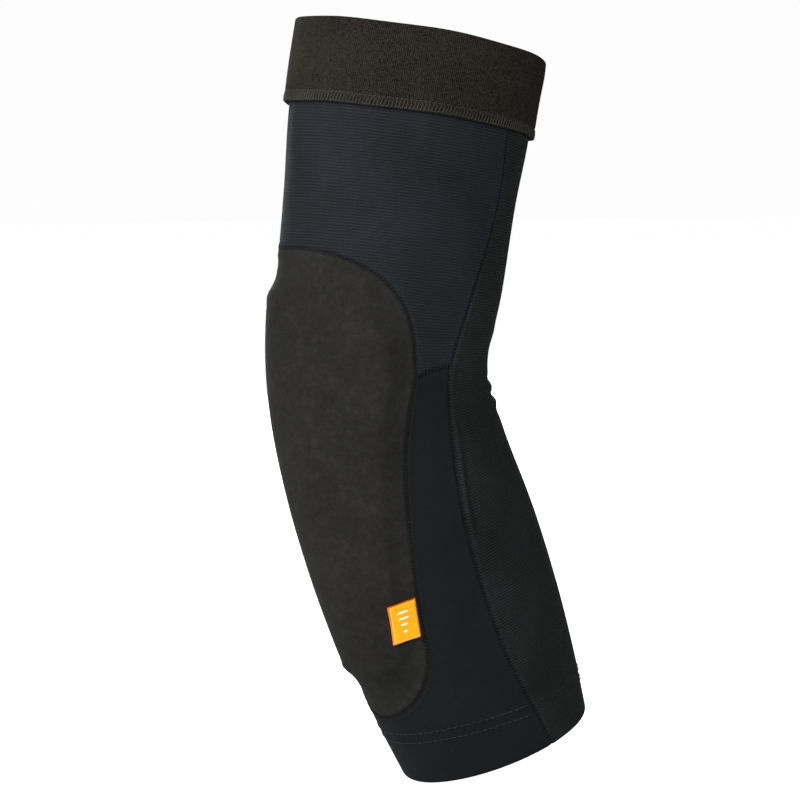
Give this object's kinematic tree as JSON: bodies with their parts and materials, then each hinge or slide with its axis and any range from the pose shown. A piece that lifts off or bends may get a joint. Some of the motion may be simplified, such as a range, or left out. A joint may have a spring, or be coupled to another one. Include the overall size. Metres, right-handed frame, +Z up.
{
  "type": "elbow guard",
  "caption": "Pre-curved knitted sleeve guard for the elbow with a foam impact pad in a covered pocket, an elastic upper cuff and a stitched forearm hem.",
  "frame": {"origin": "the middle of the sleeve at the elbow, on the axis that the arm bends about", "axes": "+Z up towards the upper arm, +Y along the elbow's bending axis towards the inner side of the arm, -Y the outer side that carries the tag, -X the way the pad faces, +X the crook of the elbow"},
  "size_m": [0.143, 0.1018, 0.3207],
  "materials": {
    "cuff_elastic": "matte knitted elastic, brownish black",
    "upper_knit": "matte fine-ribbed stretch knit, blue-black",
    "forearm_knit": "matte stretch knit, black",
    "crook_knit": "matte ribbed stretch mesh, black",
    "cover_fabric": "matte suede-like hard-wearing fabric, warm charcoal",
    "lining_mesh": "matte wicking mesh, dark grey",
    "impact_foam": "matte moulded soft impact foam, orange",
    "silicone": "satin printed silicone, dark grey",
    "seam_thread": "satin polyester thread, black",
    "hem_tape": "matte elastic tape, black",
    "tag_tape": "satin woven tape, bright orange"
  },
  "bodies": {
    "upper_sleeve": {"cuff_band": "cuff_elastic", "cuff_binding_thread": "seam_thread", "cuff_gripper_strip_1": "silicone", "cuff_gripper_strip_2": "silicone", "cuff_gripper_strip_3": "silicone", "upper_arm_panel": "upper_knit", "crook_panel_upper": "crook_knit", "pad_cover_upper": "cover_fabric", "pocket_lining_upper": "lining_mesh", "impact_pad_upper": "impact_foam", "cover_seam_thread_upper": "seam_thread", "long_seam_thread_outer_upper": "seam_thread", "long_seam_thread_inner_upper": "seam_thread", "cross_seam_thread_outer": "seam_thread", "cross_seam_thread_inner": "seam_thread"},
    "forearm_sleeve": {"forearm_panel": "forearm_knit", "crook_panel_lower": "crook_knit", "pad_cover_lower": "cover_fabric", "pocket_lining_lower": "lining_mesh", "impact_pad_lower": "impact_foam", "cover_seam_thread_lower": "seam_thread", "long_seam_thread_outer_lower": "seam_thread", "long_seam_thread_inner_lower": "seam_thread", "hem_facing": "hem_tape", "hem_gripper_strip_1": "silicone", "hem_gripper_strip_2": "silicone", "hem_stitch_thread_upper": "seam_thread", "hem_stitch_thread_lower": "seam_thread"},
    "tag_loop": {"side_tag": "tag_tape"}
  },
  "joints": [
    {"name": "elbow_flex", "type": "hinge", "parent": "upper_sleeve", "child": "forearm_sleeve", "pos_m": [0, 0, 0], "axis": [0, -1, 0], "range_deg": [-29, 75], "stiffness_Nm_per_rad": 0.5, "deforming": ["upper_arm_panel", "crook_panel_upper", "crook_panel_lower", "pad_cover_upper", "pad_cover_lower", "pocket_lining_upper", "pocket_lining_lower", "impact_pad_upper", "impact_pad_lower", "forearm_panel", "cover_seam_thread_upper", "cover_seam_thread_lower", "long_seam_thread_outer_upper", "long_seam_thread_inner_upper", "long_seam_thread_outer_lower", "long_seam_thread_inner_lower", "cross_seam_thread_outer", "cross_seam_thread_inner"]},
    {"name": "tag_flap", "type": "hinge", "parent": "forearm_sleeve", "child": "tag_loop", "pos_m": [-0.00472, -0.03425, -0.09904], "axis": [-0.2405, -0.1277, 0.9622], "range_deg": [0, 150], "stiffness_Nm_per_rad": 0.00004}
  ]
}
